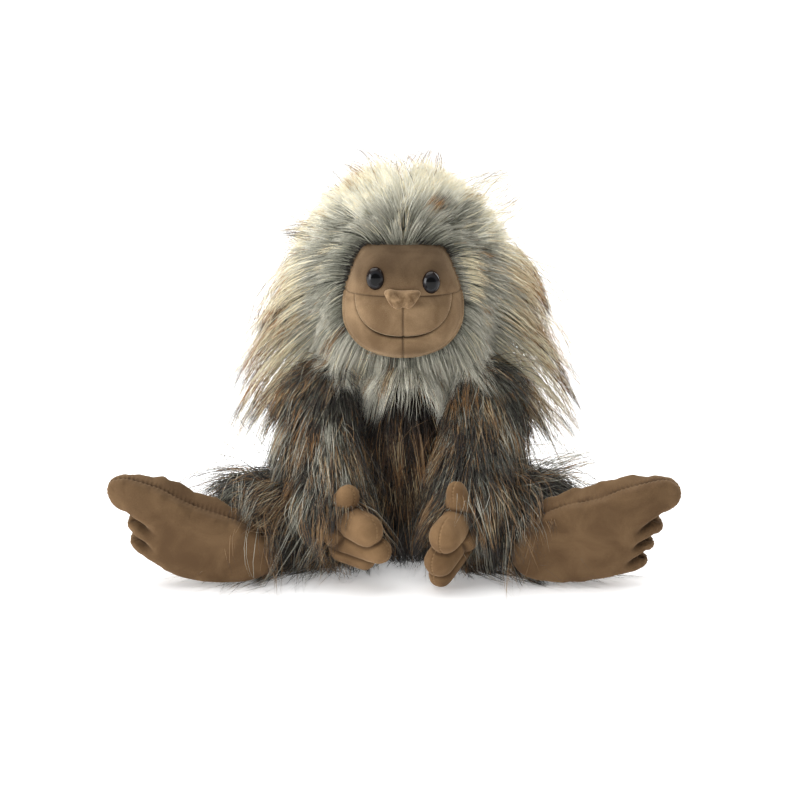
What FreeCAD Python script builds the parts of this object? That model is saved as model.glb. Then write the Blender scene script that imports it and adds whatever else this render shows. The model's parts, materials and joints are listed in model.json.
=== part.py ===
"""Seated long-furred monkey, a stuffed toy made of sewn panels around stuffing.

Frame: millimetres, +Z up, the toy faces -Y, its own left side is +X.
Origin: centre of the flat seat under the torso.
Every fur or velour panel is a separate shell, each stuffing filling is a solid inside its
panels, and the head, neck, arms, hands, legs and feet are separate moving bodies.
"""
import FreeCAD, Part
import os

from FreeCAD import Placement, Rotation, Vector

doc = FreeCAD.newDocument("stuffed_monkey")

# ---------------------------------------------------------------- driving dimensions
DIMENSIONS = {
    # torso: a wide seat ball and a narrower chest ball joined by a cone
    "seat_radius": 46.0, "seat_height": 35.0,
    "chest_radius": 34.0, "chest_height": 90.0,
    "torso_wall": 8.0, "base_wall": 3.0,
    "bag_radius": 22.0, "bag_height": 28.0,
    # neck: a short stuffed tube with a rounded top
    "neck_height": 129.0, "neck_back": 2.0, "neck_ball": 18.0,
    "neck_radius": 12.0, "neck_foot_height": 106.0,
    # head: a fur hood round a ball of stuffing, with a domed velour face in front
    "head_radius": 66.0, "head_back": 6.0, "head_height": 181.0, "head_wall": 17.0,
    "head_floor": 132.0,
    "face_ball": 42.0, "face_back": -16.0, "face_height": 177.0, "face_radius": 38.0,
    "face_wall": 2.0, "face_fill_gap": 2.0, "face_rim_back": -34.0, "brow_seam_height": 184.0,
    "smile_radius": 31.0, "smile_height": 187.0,
    "nose_radius": 11.0, "nose_front": -53.0, "nose_height": 185.0,
    "nose_tall": 7.0, "nose_deep": 9.0,
    # safety eyes: a moulded dome on a shank, locked by a washer behind the fabric
    "eye_spread": 17.3, "eye_height": 191.5, "eye_radius": 6.2, "eye_seat": -52.6,
    "shank_radius": 2.2, "shank_length": 15.0,
    "washer_radius": 7.5, "washer_thick": 1.5, "washer_back": -41.8,
    # arms
    "shoulder_out": 52.0, "shoulder_back": -3.0, "shoulder_height": 103.0,
    "arm_root": 20.5, "arm_upper": 17.0, "arm_end": 15.5, "arm_wall": 4.0, "arm_setback": 8.0,
    "left_wrist_out": 40.0, "right_wrist_out": 46.0,
    "wrist_front": -66.0, "wrist_height": 46.0, "wrist_ball": 11.0,
    # legs
    "hip_out": 44.0, "hip_back": -20.0, "hip_height": 28.0,
    "leg_root": 21.0, "leg_upper": 20.5, "leg_end": 18.0, "leg_wall": 4.0, "leg_setback": 11.0,
    "ankle_in_heel": 19.0, "ankle_front": -46.0, "ankle_height": 36.0, "ankle_ball": 13.0,
    # hands and feet: padded outlines
    "hand_thick": 24.0, "hand_neck": 8.0, "foot_thick": 32.0, "foot_neck": 10.0,
    "skin": 2.0, "left_heel_out": 67.0, "right_heel_out": 78.0,
    "foot_lift": 0.6, "foot_gap": 21.0,
    # air left between two bodies that move against each other, and between a limb's
    # stuffing and the ball of the hand or foot
    "play": 0.4, "pocket_gap": 0.1,
}

sheet = doc.addObject("Spreadsheet::Sheet", "dims")
for row, (alias, value) in enumerate(DIMENSIONS.items(), start=1):
    sheet.set(f"A{row}", alias)
    sheet.set(f"B{row}", str(value))
    sheet.setAlias(f"B{row}", alias)
doc.recompute()


def dim(alias):
    """The value of one driving dimension, read back from the sheet."""
    return float(sheet.get(alias))


def bind(obj, **formulas):
    """Tie properties of an object to formulas over the sheet's aliases."""
    for prop, formula in formulas.items():
        for alias in sorted(DIMENSIONS, key=len, reverse=True):
            formula = formula.replace(f"${alias}", f"dims.{alias}")
        obj.setExpression(prop, formula)
    return obj


def at(x="0", y="0", z="0"):
    """Formulas that place an object's origin."""
    return {".Placement.Base.x": x, ".Placement.Base.y": y, ".Placement.Base.z": z}


# ---------------------------------------------------------------- building blocks
def sphere(name, radius, **place):
    return bind(doc.addObject("Part::Sphere", name), Radius=radius, **place)


def cylinder(name, radius, length, **place):
    return bind(doc.addObject("Part::Cylinder", name), Radius=radius, Height=length, **place)


def cone(name, radius_low, radius_high, length, **place):
    obj = doc.addObject("Part::Cone", name)
    return bind(obj, Radius1=radius_low, Radius2=radius_high, Height=length, **place)


def box(name, corner, size):
    """A plain box that cuts or keeps one side of something."""
    obj = doc.addObject("Part::Box", name)
    obj.Length, obj.Width, obj.Height = size
    obj.Placement.Base = Vector(*corner)
    return obj


def fuse(name, *pieces):
    obj = doc.addObject("Part::MultiFuse", name)
    obj.Shapes = list(pieces)
    obj.Refine = True
    return obj


def common(name, base, tool):
    obj = doc.addObject("Part::Common", name)
    obj.Base, obj.Tool = base, tool
    return obj


def cut(name, base, *tools):
    """Base less every tool, as a chain of cuts whose last one has the given name."""
    for number, tool in enumerate(tools, start=1):
        obj = doc.addObject("Part::Cut", name if number == len(tools) else f"{name}_less_{number}")
        obj.Base, obj.Tool = base, tool
        base = obj
    return base


nodes = {}


def keep(obj, label, placement=None):
    """Register one finished sub-part under its own label."""
    obj.Label = label
    if placement is not None:
        obj.Placement = placement
    nodes[label] = obj
    return obj


BIG = 1000.0    # side of the boxes that cut away a half space
THROUGH = "100"  # length of a tool that passes right through what it cuts
front_half = box("front_half", (-BIG / 2, -BIG, -BIG / 2), (BIG, BIG, BIG))
back_half = box("back_half", (-BIG / 2, 0, -BIG / 2), (BIG, BIG, BIG))
left_half = box("left_half", (0, -BIG / 2, -BIG / 2), (BIG, BIG, BIG))
right_half = box("right_half", (-BIG, -BIG / 2, -BIG / 2), (BIG, BIG, BIG))
SIDES = (("left", 1), ("right", -1))


# ---------------------------------------------------------------- sockets of the torso
def mirrored(sign, formula):
    return formula if sign > 0 else f"-({formula})"


sockets = [
    sphere("neck_socket", "$neck_ball + $play", **at(y="$neck_back", z="$neck_height")),
    cylinder("neck_well", "$neck_radius + $play", THROUGH,
             **at(y="$neck_back", z="$neck_foot_height - $play")),
]
for side, sign in SIDES:
    sockets.append(sphere(f"{side}_shoulder_socket", "$arm_root + $play",
                          **at(mirrored(sign, "$shoulder_out"), "$shoulder_back",
                               "$shoulder_height")))
    sockets.append(sphere(f"{side}_hip_socket", "$leg_root + $play",
                          **at(mirrored(sign, "$hip_out"), "$hip_back", "$hip_height")))


# ---------------------------------------------------------------- torso
def pear(name, inset, floor):
    """The torso's pear shape, drawn in from its outside by an inset and cut flat below."""
    seat = sphere(f"{name}_seat", f"$seat_radius - {inset}", **at(z="$seat_height"))
    waist = cone(f"{name}_waist", f"$seat_radius - {inset}", f"$chest_radius - {inset}",
                 "$chest_height - $seat_height", **at(z="$seat_height"))
    chest = sphere(f"{name}_chest", f"$chest_radius - {inset}", **at(z="$chest_height"))
    below = box(f"{name}_below", (-BIG / 2, -BIG / 2, -BIG), (BIG, BIG, BIG))
    bind(below, **{".Placement.Base.z": f"{floor} - {BIG}"})
    return cut(name, fuse(f"{name}_whole", seat, waist, chest), below)


torso_outside = pear("torso_outside", "0", "0")
torso_inside = pear("torso_inside", "$torso_wall", "$base_wall")
torso_shell = cut("torso_shell", torso_outside, torso_inside, *sockets)
pellet_bag = sphere("pellet_bag_ball", "$bag_radius", **at(z="$bag_height"))
keep(common("torso_front", torso_shell, front_half), "torso_front_panel")
keep(common("torso_back", torso_shell, back_half), "torso_back_panel")
keep(cut("torso_fill", torso_inside, pellet_bag, *sockets), "torso_stuffing")
keep(pellet_bag, "pellet_bag")

# ---------------------------------------------------------------- neck
neck_top = sphere("neck_top", "$neck_ball", **at(y="$neck_back", z="$neck_height"))
neck_foot = cylinder("neck_foot", "$neck_radius", "$neck_height - $neck_foot_height",
                     **at(y="$neck_back", z="$neck_foot_height"))
keep(fuse("neck", neck_top, neck_foot), "neck_tube")

# ---------------------------------------------------------------- head
FACING = Rotation(Vector(1, 0, 0), 90)  # carries a cylinder's +Z to -Y, out of the face


def facing(obj, x, y, z):
    """Turn an object's +Z out of the face, then place it."""
    obj.Placement = Placement(Vector(0, 0, 0), FACING)
    return bind(obj, **at(x, y, z))


head_place = at(y="$head_back", z="$head_height")
face_place = at(y="$face_back", z="$face_height")
head_below = box("head_below", (-BIG / 2, -BIG / 2, -BIG), (BIG, BIG, BIG))
bind(head_below, **{".Placement.Base.z": f"$head_floor - {BIG}"})
head_socket = sphere("head_socket", "$neck_ball + $play",
                     **at(y="$neck_back", z="$neck_height"))
face_hole = cylinder("face_hole", "$face_radius + $play", THROUGH)
facing(face_hole, "0", "0", "$face_height")
hood = cut("hood", sphere("hood_outside", "$head_radius", **head_place),
           sphere("hood_inside", "$head_radius - $head_wall", **head_place),
           face_hole, head_below, head_socket)
keep(common("hood_left_half", hood, left_half), "hood_left_panel")
keep(common("hood_right_half", hood, right_half), "hood_right_panel")

face_front = box("face_front", (-BIG / 2, -BIG, -BIG / 2), (BIG, BIG, BIG))
bind(face_front, **{".Placement.Base.y": f"$face_rim_back - {BIG}"})
face_ball = sphere("face_ball_outside", "$face_ball", **face_place)
face_shell = cut("face_shell", face_ball,
                 sphere("face_ball_inside", "$face_ball - $face_wall", **face_place))
face_dome = common("face_dome", face_shell, face_front)
above_seam = box("above_seam", (-BIG / 2, -BIG / 2, 0), (BIG, BIG, BIG))
bind(above_seam, **{".Placement.Base.z": "$brow_seam_height"})
smile_round = facing(cylinder("smile_round", "$smile_radius", THROUGH), "0", "0", "$smile_height")
face_lower = cut("face_lower", face_dome, above_seam)
muzzle = common("muzzle", face_lower, smile_round)
chin = cut("chin", face_lower, smile_round)
for side, half in (("left", left_half), ("right", right_half)):
    keep(common(f"muzzle_{side}_half", muzzle, half), f"muzzle_{side}_panel")
    keep(common(f"chin_{side}_half", chin, half), f"chin_{side}_panel")

nose_pad = doc.addObject("Part::Ellipsoid", "nose_pad")
bind(nose_pad, Radius1="$nose_tall", Radius2="$nose_radius", Radius3="$nose_deep",
     **at(y="$nose_front", z="$nose_height"))
keep(cut("nose_dome", nose_pad, face_ball), "nose")

shank_holes = []
washer_wells = []
for side, sign in SIDES:
    out = mirrored(sign, "$eye_spread")
    dome = sphere(f"{side}_eye_dome", "$eye_radius", **at(out, "$eye_seat", "$eye_height"))
    shank = cylinder(f"{side}_eye_shank", "$shank_radius", "$shank_length")
    facing(shank, out, "$eye_seat + $shank_length", "$eye_height")
    bead = cut(f"{side}_eye_bead", dome, face_ball)
    keep(fuse(f"{side}_eye_whole", bead, shank), f"{side}_eye")
    hole = facing(cylinder(f"{side}_shank_hole", "$shank_radius", THROUGH), out,
                  "$eye_seat + $shank_length", "$eye_height")
    shank_holes.append(hole)
    disc = cylinder(f"{side}_washer_disc", "$washer_radius", "$washer_thick")
    facing(disc, out, "$washer_back + $washer_thick", "$eye_height")
    keep(cut(f"{side}_washer_ring", disc, hole), f"{side}_eye_washer")
    well = cylinder(f"{side}_washer_well", "$washer_radius + $play", THROUGH)
    facing(well, out, "$washer_back + $washer_thick + $play", "$eye_height")
    washer_wells.append(well)
forehead = common("forehead", face_dome, above_seam)
keep(cut("forehead_holed", forehead, *shank_holes), "forehead_panel")

head_fill = fuse("head_fill",
                 sphere("head_fill_ball", "$head_radius - $head_wall - $play", **head_place),
                 sphere("face_fill_ball", "$face_ball - $face_wall - $face_fill_gap",
                        **face_place))
keep(cut("head_fill_trimmed", head_fill, head_below, head_socket, *shank_holes, *washer_wells),
     "head_stuffing")


# ---------------------------------------------------------------- limbs
def limb(side, name, start, finish):
    """A tapered fur sleeve in two panels round its stuffing.

    Its root is a ball on the near joint; its open end stops short of the far joint and
    leaves a pocket for the ball of the hand or foot.
    """
    tag = f"{side}_{name}"
    root, upper, end, wall = (f"${name}_{size}" for size in ("root", "upper", "end", "wall"))
    axis = finish - start
    length = f"{axis.Length} - ${name}_setback"
    outside = fuse(f"{tag}_outside", sphere(f"{tag}_root", root),
                   cone(f"{tag}_taper", upper, end, length))
    inside = fuse(f"{tag}_inside", sphere(f"{tag}_core_root", f"{root} - {wall}"),
                  cone(f"{tag}_core_taper", f"{upper} - {wall}", f"{end} - {wall}", length))
    sleeve = cut(f"{tag}_sleeve", outside, inside)
    place = Placement(start, Rotation(Vector(0, 0, 1), axis))
    outer, inner = (left_half, right_half) if side == "left" else (right_half, left_half)
    keep(common(f"{tag}_outer_half", sleeve, outer), f"{tag}_outer_panel", place)
    keep(common(f"{tag}_inner_half", sleeve, inner), f"{tag}_inner_panel", place)
    pocket = sphere(f"{tag}_end_pocket", f"{end} - {wall} - $pocket_gap",
                    **at(z=f"{axis.Length}"))
    keep(cut(f"{tag}_fill", inside, pocket), f"{tag}_stuffing", place)


# ---------------------------------------------------------------- hands and feet
def outline_sketch(body, name, points):
    """A closed smooth outline through a few points, on a body's XY plane."""
    sketch = body.newObject("Sketcher::SketchObject", name)
    plane = [f for f in body.Origin.OriginFeatures if f.Role == "XY_Plane"][0]
    sketch.AttachmentSupport = (plane, [""])
    sketch.MapMode = "FlatFace"
    curve = Part.BSplineCurve()
    curve.interpolate([Vector(x, y, 0) for x, y in points], PeriodicFlag=True)
    sketch.addGeometry(curve, False)
    return sketch


def padded(name, points, low, height):
    """A body padded from an outline, from a low plane up through a height."""
    body = doc.addObject("PartDesign::Body", name)
    sketch = outline_sketch(body, f"{name}_outline", points)
    doc.recompute()
    pad = body.newObject("PartDesign::Pad", f"{name}_pad")
    pad.Profile = sketch
    bind(pad, Length=height)
    bind(sketch, **{".AttachmentOffset.Base.z": low})
    doc.recompute()
    return body


CORE_SHARE = 0.86  # a stuffing's outline as a share of its panels' outline


def shrunk(points):
    """An outline drawn in towards its middle, for the stuffing inside it."""
    mid_x = sum(x for x, _ in points) / len(points)
    mid_y = sum(y for _, y in points) / len(points)
    return [(mid_x + (x - mid_x) * CORE_SHARE, mid_y + (y - mid_y) * CORE_SHARE)
            for x, y in points]


def pillow(tag, front_name, back_name, points, thick, place, neck_from, neck_radius, ball):
    """A padded hand or foot: a flat front panel, a deep back panel and the stuffing.

    The outline lies in the local XY plane and +Z leaves the front panel. The stuffing
    runs on through a round neck to a ball on the joint.
    """
    inner = shrunk(points)
    front = padded(f"{tag}_front", points, f"{thick} / 2 - $skin", "$skin")
    keep(front, f"{tag}_{front_name}", place)
    block = padded(f"{tag}_block", points, f"-{thick} / 2", f"{thick} - $skin")
    core = padded(f"{tag}_core", inner, f"-{thick} / 2 + $skin", f"{thick} - 2 * $skin")
    start, finish = neck_from
    neck_axis = finish - start
    neck = cylinder(f"{tag}_neck", neck_radius, f"{neck_axis.Length}")
    neck.Placement = Placement(start, Rotation(Vector(0, 0, 1), neck_axis))
    root = sphere(f"{tag}_root", ball)
    root.Placement.Base = finish
    keep(cut(f"{tag}_shell", block, core, neck), f"{tag}_{back_name}", place)
    keep(fuse(f"{tag}_fill", core, neck, root), f"{tag}_stuffing", place)


# outline of a hand: x along the fingers, y towards the thumb, wrist at x = 0
HAND = [(6, -9), (18, -20), (34, -25), (43, -21), (40, -14), (50, -9), (52, -2), (43, 2),
        (48, 8), (44, 15), (30, 13), (27, 22), (18, 32), (9, 27), (7, 10)]
# outline of a foot: x from the heel to the toes, y up towards the big toe
FOOT = [(0, 26), (8, 10), (28, 1), (60, 3), (84, 14), (93, 24), (95, 31), (91, 36),
        (96, 41), (94, 48), (108, 58), (105, 70), (92, 73), (68, 67), (38, 58), (12, 44)]

# how each hand points: the way of its fingers and the way of its thumb
POINTING = {
    "left": (Vector(-0.20, -0.84, -0.50), Vector(0.05, -0.45, 0.89)),
    "right": (Vector(0.72, -0.58, -0.38), Vector(-0.10, -0.45, 0.89)),
}


def hand_frame(fingers, thumb):
    """Rotation whose x runs along the fingers and whose y runs towards the thumb."""
    forward = Vector(fingers).normalize()
    normal = forward.cross(thumb).normalize()
    upward = normal.cross(forward)
    return Rotation(FreeCAD.Matrix(forward.x, upward.x, normal.x, 0,
                                   forward.y, upward.y, normal.y, 0,
                                   forward.z, upward.z, normal.z, 0, 0, 0, 0, 1))


UPRIGHT = Rotation(Vector(1, 0, 0), 90)  # stands an outline up, its front panel facing -Y
PALM_OFFSET = Vector(4, 0, 0)            # from the wrist joint to the outline's own origin
PALM_NECK = Vector(12, 2, 0)             # where a hand's stuffed neck starts in its outline
ANKLE_NECK_LEAN = 6                      # how far a foot's stuffed neck leans to the toes

for side, sign in SIDES:
    shoulder = Vector(sign * dim("shoulder_out"), dim("shoulder_back"), dim("shoulder_height"))
    wrist = Vector(sign * dim(f"{side}_wrist_out"), dim("wrist_front"), dim("wrist_height"))
    limb(side, "arm", shoulder, wrist)
    turn = hand_frame(*POINTING[side])
    pillow(f"{side}_hand", "palm", "back", HAND, "$hand_thick",
           Placement(wrist + turn.multVec(PALM_OFFSET), turn),
           (PALM_NECK, -PALM_OFFSET), "$hand_neck", "$wrist_ball")

    hip = Vector(sign * dim("hip_out"), dim("hip_back"), dim("hip_height"))
    heel_out = dim(f"{side}_heel_out")
    ankle = Vector(sign * (heel_out + dim("ankle_in_heel")), dim("ankle_front"),
                   dim("ankle_height"))
    limb(side, "leg", hip, ankle)
    heel = Vector(sign * heel_out, ankle.y - dim("foot_gap") - dim("foot_thick") / 2,
                  dim("foot_lift"))
    joint = UPRIGHT.inverted().multVec(ankle - heel)
    pillow(f"{side}_foot", "sole", "upper", [(sign * x, y) for x, y in FOOT][::sign],
           "$foot_thick", Placement(heel, UPRIGHT),
           (Vector(joint.x + sign * ANKLE_NECK_LEAN, joint.y, 0), joint), "$foot_neck", "$ankle_ball")

# ---------------------------------------------------------------- check and export
doc.recompute()
for obj in doc.Objects:
    if {"Invalid", "Error"} & set(obj.State):
        raise RuntimeError(f"{obj.Label} did not build: {obj.State}")
os.makedirs("parts", exist_ok=True)
for label, obj in nodes.items():
    shape = obj.Shape
    if shape.isNull() or not shape.isValid() or not shape.Solids:
        raise RuntimeError(f"{label} is not a valid solid")
    shape.exportStep(f"parts/{label}.step")
    span = shape.BoundBox
    print(f"{label:28s} {len(shape.Solids)} solid(s) {shape.Volume / 1000:8.2f} cm3  "
          f"X {span.XMin:7.1f} {span.XMax:7.1f}  Y {span.YMin:7.1f} {span.YMax:7.1f}  "
          f"Z {span.ZMin:7.1f} {span.ZMax:7.1f}")
print(len(nodes), "nodes")
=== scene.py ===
from collections import namedtuple
import json
import math

import bpy
import numpy as np
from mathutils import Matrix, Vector, geometry, kdtree


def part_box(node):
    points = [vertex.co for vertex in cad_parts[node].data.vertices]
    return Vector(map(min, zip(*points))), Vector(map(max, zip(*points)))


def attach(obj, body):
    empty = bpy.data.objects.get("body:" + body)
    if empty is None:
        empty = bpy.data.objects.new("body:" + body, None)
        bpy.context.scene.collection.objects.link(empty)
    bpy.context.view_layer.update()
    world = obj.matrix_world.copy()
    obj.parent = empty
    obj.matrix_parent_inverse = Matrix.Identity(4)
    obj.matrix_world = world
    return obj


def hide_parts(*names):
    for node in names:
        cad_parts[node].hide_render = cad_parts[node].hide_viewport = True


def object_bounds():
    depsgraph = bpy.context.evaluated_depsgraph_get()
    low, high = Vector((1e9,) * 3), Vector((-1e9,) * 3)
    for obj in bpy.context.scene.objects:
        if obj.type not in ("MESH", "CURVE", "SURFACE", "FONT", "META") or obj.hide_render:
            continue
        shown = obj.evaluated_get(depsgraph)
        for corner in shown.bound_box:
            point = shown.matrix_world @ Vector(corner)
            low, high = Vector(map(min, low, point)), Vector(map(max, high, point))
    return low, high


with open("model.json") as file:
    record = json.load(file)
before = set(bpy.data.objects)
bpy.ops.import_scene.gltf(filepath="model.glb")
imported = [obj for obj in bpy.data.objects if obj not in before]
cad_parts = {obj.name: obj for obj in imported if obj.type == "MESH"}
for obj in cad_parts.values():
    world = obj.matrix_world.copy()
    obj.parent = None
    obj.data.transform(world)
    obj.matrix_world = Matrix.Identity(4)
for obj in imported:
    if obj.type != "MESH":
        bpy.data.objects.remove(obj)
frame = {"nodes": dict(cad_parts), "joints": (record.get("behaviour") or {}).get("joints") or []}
cad_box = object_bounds()

MM = 0.001
JOINTS = {joint["name"]: joint for joint in frame["joints"]}
SIDES = (("left", 1), ("right", -1))


# ------------------------------------------------------------------ places, from the frame
def span(*nodes):
    """Lowest and highest corner of some CAD nodes together."""
    boxes = [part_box(node) for node in nodes]
    low = np.min([np.array(b[0]) for b in boxes], axis=0)
    high = np.max([np.array(b[1]) for b in boxes], axis=0)
    return low, high


def pivot(joint):
    return np.array(JOINTS[joint]["pos_m"])


HOOD_LOW, HOOD_HIGH = span("hood_left_panel", "hood_right_panel")
HOOD_RADIUS = (HOOD_HIGH[0] - HOOD_LOW[0]) / 2
# the knitted cloth under the hood's pile: a ball a little flatter from front to back
SKULL = np.array([HOOD_RADIUS - 11 * MM, HOOD_RADIUS - 14 * MM, HOOD_RADIUS - 11 * MM])
SKULL_CENTRE = np.array([0, HOOD_HIGH[1] - HOOD_RADIUS + 3 * MM, HOOD_HIGH[2] - HOOD_RADIUS])
SEAM_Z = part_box("forehead_panel")[0].z - 4 * MM   # the straight seam under the eyes
FACE_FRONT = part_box("muzzle_left_panel")[0].y
TORSO_LOW, TORSO_HIGH = span("torso_front_panel", "torso_back_panel")

# ------------------------------------------------------------------ colours and materials
rng = np.random.default_rng(20)


def linear(red, green, blue):
    """sRGB bytes to a linear colour."""
    value = np.array([red, green, blue]) / 255
    value = np.where(value <= 0.04045, value / 12.92, ((value + 0.055) / 1.055) ** 2.4)
    return (*value.tolist(), 1.0)


HAIR = {
    "black": (20, 16, 13), "umber": (48, 36, 25), "brown": (92, 68, 45),
    "tan": (150, 118, 80), "amber": (176, 130, 80), "sand": (206, 184, 146),
    "cream": (250, 240, 208), "white": (255, 253, 238), "silver": (206, 203, 187),
    "grey": (172, 170, 154), "sage": (138, 138, 122), "slate": (96, 95, 83),
    "coal": (50, 47, 40),
}
HAIR_NAMES = list(HAIR)
THREAD, SHEEN = (176, 146, 108), (214, 186, 150)


def fill(tree, node, **inputs):
    """Set a node's inputs: each is a number, a colour or another node's output."""
    for name, value in inputs.items():
        socket = node.inputs[name.replace("_", " ")]
        if isinstance(value, bpy.types.NodeSocket):
            tree.links.new(value, socket)
        else:
            socket.default_value = value


def add(tree, kind, output, **inputs):
    """A new shader node; gives its output."""
    node = tree.nodes.new(f"ShaderNode{kind}")
    fill(tree, node, **inputs)
    return node.outputs[output]


def mix(tree, kind, factor, a, b):
    node = tree.nodes.new("ShaderNodeMix")
    node.data_type = kind
    fill(tree, node, Factor=factor, A=a, B=b)
    return node.outputs["Result"]


def shade_of(tree, name):
    """A number painted on the mesh."""
    node = tree.nodes.new("ShaderNodeAttribute")
    node.attribute_name = name
    return node.outputs["Fac"]


def ramp(tree, where, *stops):
    """A colour for each place on a scale, from (place, linear colour) stops."""
    node = tree.nodes.new("ShaderNodeValToRGB")
    for number, (place, colour) in enumerate(stops):
        stop = (node.color_ramp.elements[number] if number < 2
                else node.color_ramp.elements.new(place))
        stop.position, stop.color = place, colour
    fill(tree, node, Fac=where)
    return node.outputs["Color"]


def new_material(name, roughness):
    material = bpy.data.materials.new(name)
    material.use_nodes = True
    shader = material.node_tree.nodes["Principled BSDF"]
    shader.inputs["Roughness"].default_value = roughness
    return material, material.node_tree, shader


def hair_material(name):
    """One shade of fibre: a soft gloss along the strand."""
    material, tree, shader = new_material(f"fibre_{name}", 0.52)
    fill(tree, shader, Base_Color=linear(*HAIR[name]), Specular_IOR_Level=0.35, Sheen_Weight=0.15)
    return material


def cloth_material(name, dark, light, seam_and_painted_light_colour, patch=42.0, nap=2600.0, sheen=0.5):
    """Brushed velour: patches where the nap lies differently, fine fibre, and a colour mixed in by
    the seam number: darker seam lines with painted shade in grooves and folds, a painted highlight
    on the nose's rim, the crown's cream on the underwool.
    """
    material, tree, shader = new_material(name, 0.92)
    where = add(tree, "TexCoord", "Object")
    patches = add(tree, "TexNoise", "Fac", Vector=where, Scale=patch, Detail=6.0, Distortion=0.6)
    fibres = add(tree, "TexNoise", "Fac", Vector=where, Scale=nap, Detail=2.0)
    cloth = ramp(tree, mix(tree, "FLOAT", 0.28, patches, fibres),
                 (0.4, linear(*dark)), (0.62, linear(*light)))
    # the seam number mixes in the fourth colour: real seam lines and the crown's cream, and also
    # painted shade in grooves, folds, creases and on the brow, and a painted sheen highlight on the
    # nose's rim
    sewn = mix(tree, "RGBA", shade_of(tree, "seam"), cloth, linear(*seam_and_painted_light_colour))
    stitched = mix(tree, "RGBA", shade_of(tree, "stitch"), sewn, linear(*THREAD))
    bump = add(tree, "Bump", "Normal", Strength=0.35, Distance=0.0003, Height=fibres)
    fill(tree, shader, Base_Color=stitched, Normal=bump, Specular_IOR_Level=0.2,
         Sheen_Weight=sheen, Sheen_Roughness=0.35, Sheen_Tint=linear(*SHEEN))
    return material


def backing_material(name, dark, light, crown):
    """The knitted backing and dense underwool that show between the strands."""
    return cloth_material(name, dark, light, crown, patch=60.0, nap=900.0, sheen=0.1)


def eye_material():
    """Moulded plastic: a black pupil, a smoky grey ring round it that is a painted reflection, and
    a dark brown rim.
    """
    material, tree, shader = new_material("eye_plastic", 0.1)
    # stops from the middle out: the grey from 0.62 to 0.8 is a painted reflection of the room
    stops = ((0.0, (2, 2, 3)), (0.5, (3, 3, 4)), (0.62, (33, 33, 36)), (0.8, (38, 35, 35)),
             (0.88, (24, 15, 11)), (1.0, (30, 17, 11)))
    rings = ramp(tree, shade_of(tree, "seam"), *[(place, linear(*rgb)) for place, rgb in stops])
    fill(tree, shader, Base_Color=rings, Specular_IOR_Level=0.22)
    return material


def plain_material(name, colour, roughness):
    """A lightly mottled moulded or fibrous material."""
    material, tree, shader = new_material(name, roughness)
    mottle = add(tree, "TexNoise", "Fac", Scale=300.0)
    fill(tree, shader, Base_Color=ramp(tree, mottle, (0, linear(*[c * 0.82 for c in colour])),
                                       (1, linear(*colour))))
    return material


HAIR_MATERIALS = [hair_material(name) for name in HAIR_NAMES]
# each velour's fourth colour is what the seam number mixes in: a dark painted shade on the face,
# feet and hands, which the feet's seam lines also take as their own colour, and a light painted
# sheen highlight on the nose
VELOUR_FACE = cloth_material("velour_face", (106, 84, 60), (144, 119, 90), (36, 24, 15))
VELOUR_NOSE = cloth_material("velour_nose", (98, 76, 53), (146, 120, 90), (176, 148, 116),
                             patch=220.0, sheen=0.8)
VELOUR_LIMB = cloth_material("velour_feet", (90, 68, 46), (112, 88, 62), (30, 19, 11))
VELOUR_HAND = cloth_material("velour_hands", (106, 81, 55), (132, 104, 73), (44, 29, 17))
UNDERWOOL = backing_material("underwool_grey", (84, 83, 73), (122, 120, 107), (226, 216, 186))
UNDERWOOL_LIMB = backing_material("underwool_slate", (30, 28, 24), (56, 52, 45), (0, 0, 0))
UNDERWOOL_DARK = backing_material("underwool_brown", (18, 14, 11), (38, 29, 22), (0, 0, 0))
EYE_PLASTIC = eye_material()
FILLING = plain_material("filling_fibre", (232, 230, 224), 0.95)
WASHER_PLASTIC = plain_material("washer_plastic", (222, 220, 214), 0.5)
BAG_CLOTH = plain_material("pellet_bag_cloth", (186, 182, 172), 0.9)


# ------------------------------------------------------------------ mesh helpers
def unit(vectors):
    length = np.linalg.norm(vectors, axis=-1, keepdims=True)
    return vectors / np.maximum(length, 1e-9)


def smooth(low, high, value):
    """Smooth step from 0 at low to 1 at high."""
    part = np.clip((value - low) / (high - low), 0, 1)
    return part * part * (3 - 2 * part)


def add_object(name, data):
    obj = bpy.data.objects.new(name, data)
    bpy.context.scene.collection.objects.link(obj)
    return obj


def set_shade(obj, name, values):
    """Paint a number on each point, for shade_of to read."""
    layer = obj.data.attributes.new(name, "FLOAT", "POINT")
    layer.data.foreach_set("value", np.asarray(values, np.float32))


def make_object(name, points, faces, materials, seam=None):
    mesh = bpy.data.meshes.new(name)
    mesh.from_pydata(np.asarray(points).tolist(), [], [list(map(int, f)) for f in faces])
    mesh.validate()
    for material in materials:
        mesh.materials.append(material)
    mesh.polygons.foreach_set("use_smooth", np.ones(len(mesh.polygons), bool))
    mesh.update()
    obj = add_object(name, mesh)
    if seam is not None:
        set_shade(obj, "seam", seam)
    return obj


def read_points(obj, what="co"):
    """Places, or normals, of a mesh's points."""
    values = np.zeros(len(obj.data.vertices) * 3)
    obj.data.vertices.foreach_get(what, values)
    return values.reshape(-1, 3)


def write_points(obj, points):
    obj.data.vertices.foreach_set("co", points.ravel())
    obj.data.update()


def apply_modifiers(obj):
    """Replace an object's mesh with what its modifiers make of it."""
    bpy.context.view_layer.update()
    graph = bpy.context.evaluated_depsgraph_get()
    mesh = bpy.data.meshes.new_from_object(obj.evaluated_get(graph), depsgraph=graph)
    obj.modifiers.clear()
    obj.data = mesh


def subdivide(obj, levels):
    soft = obj.modifiers.new("smooth", "SUBSURF")
    soft.levels = soft.render_levels = levels
    apply_modifiers(obj)


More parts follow.
